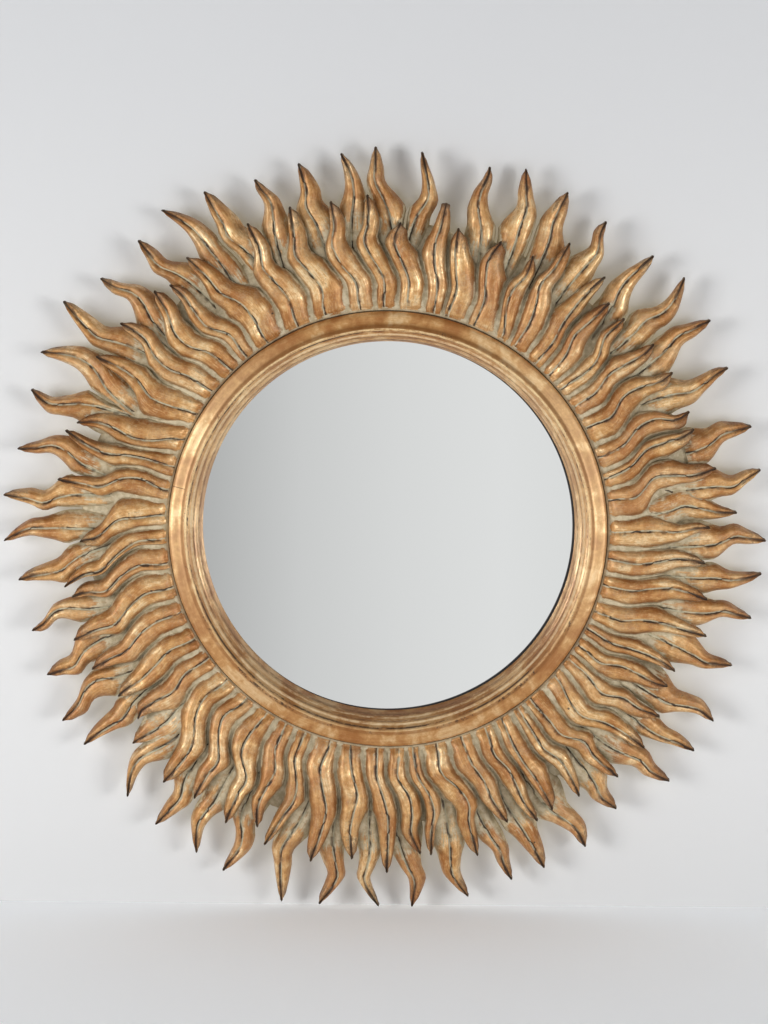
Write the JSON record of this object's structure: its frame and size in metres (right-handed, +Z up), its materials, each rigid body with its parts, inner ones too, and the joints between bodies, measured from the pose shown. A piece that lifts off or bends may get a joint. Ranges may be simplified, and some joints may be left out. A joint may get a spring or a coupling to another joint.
{
  "type": "wall mirror",
  "caption": "Round wall mirror in a carved giltwood sunburst frame of wavy flame-like rays in two tiers around a turned moulding.",
  "frame": {"origin": "centre of the round back board's rear face, in the plane of the wall", "axes": "+Z up, +Y into the wall, the glass faces -Y"},
  "size_m": [0.9936, 0.0602, 0.9989],
  "materials": {
    "gilt_wood": "satin",
    "worn_gilt": "satin",
    "silvered_glass": "polished",
    "bare_wood": "matt",
    "steel_plate": "satin"
  },
  "bodies": {
    "root": {"sunburst_frame": "gilt_wood", "round_moulding": "worn_gilt", "mirror_glass": "silvered_glass", "back_board": "bare_wood", "hanging_plate": "steel_plate"}
  },
  "joints": []
}
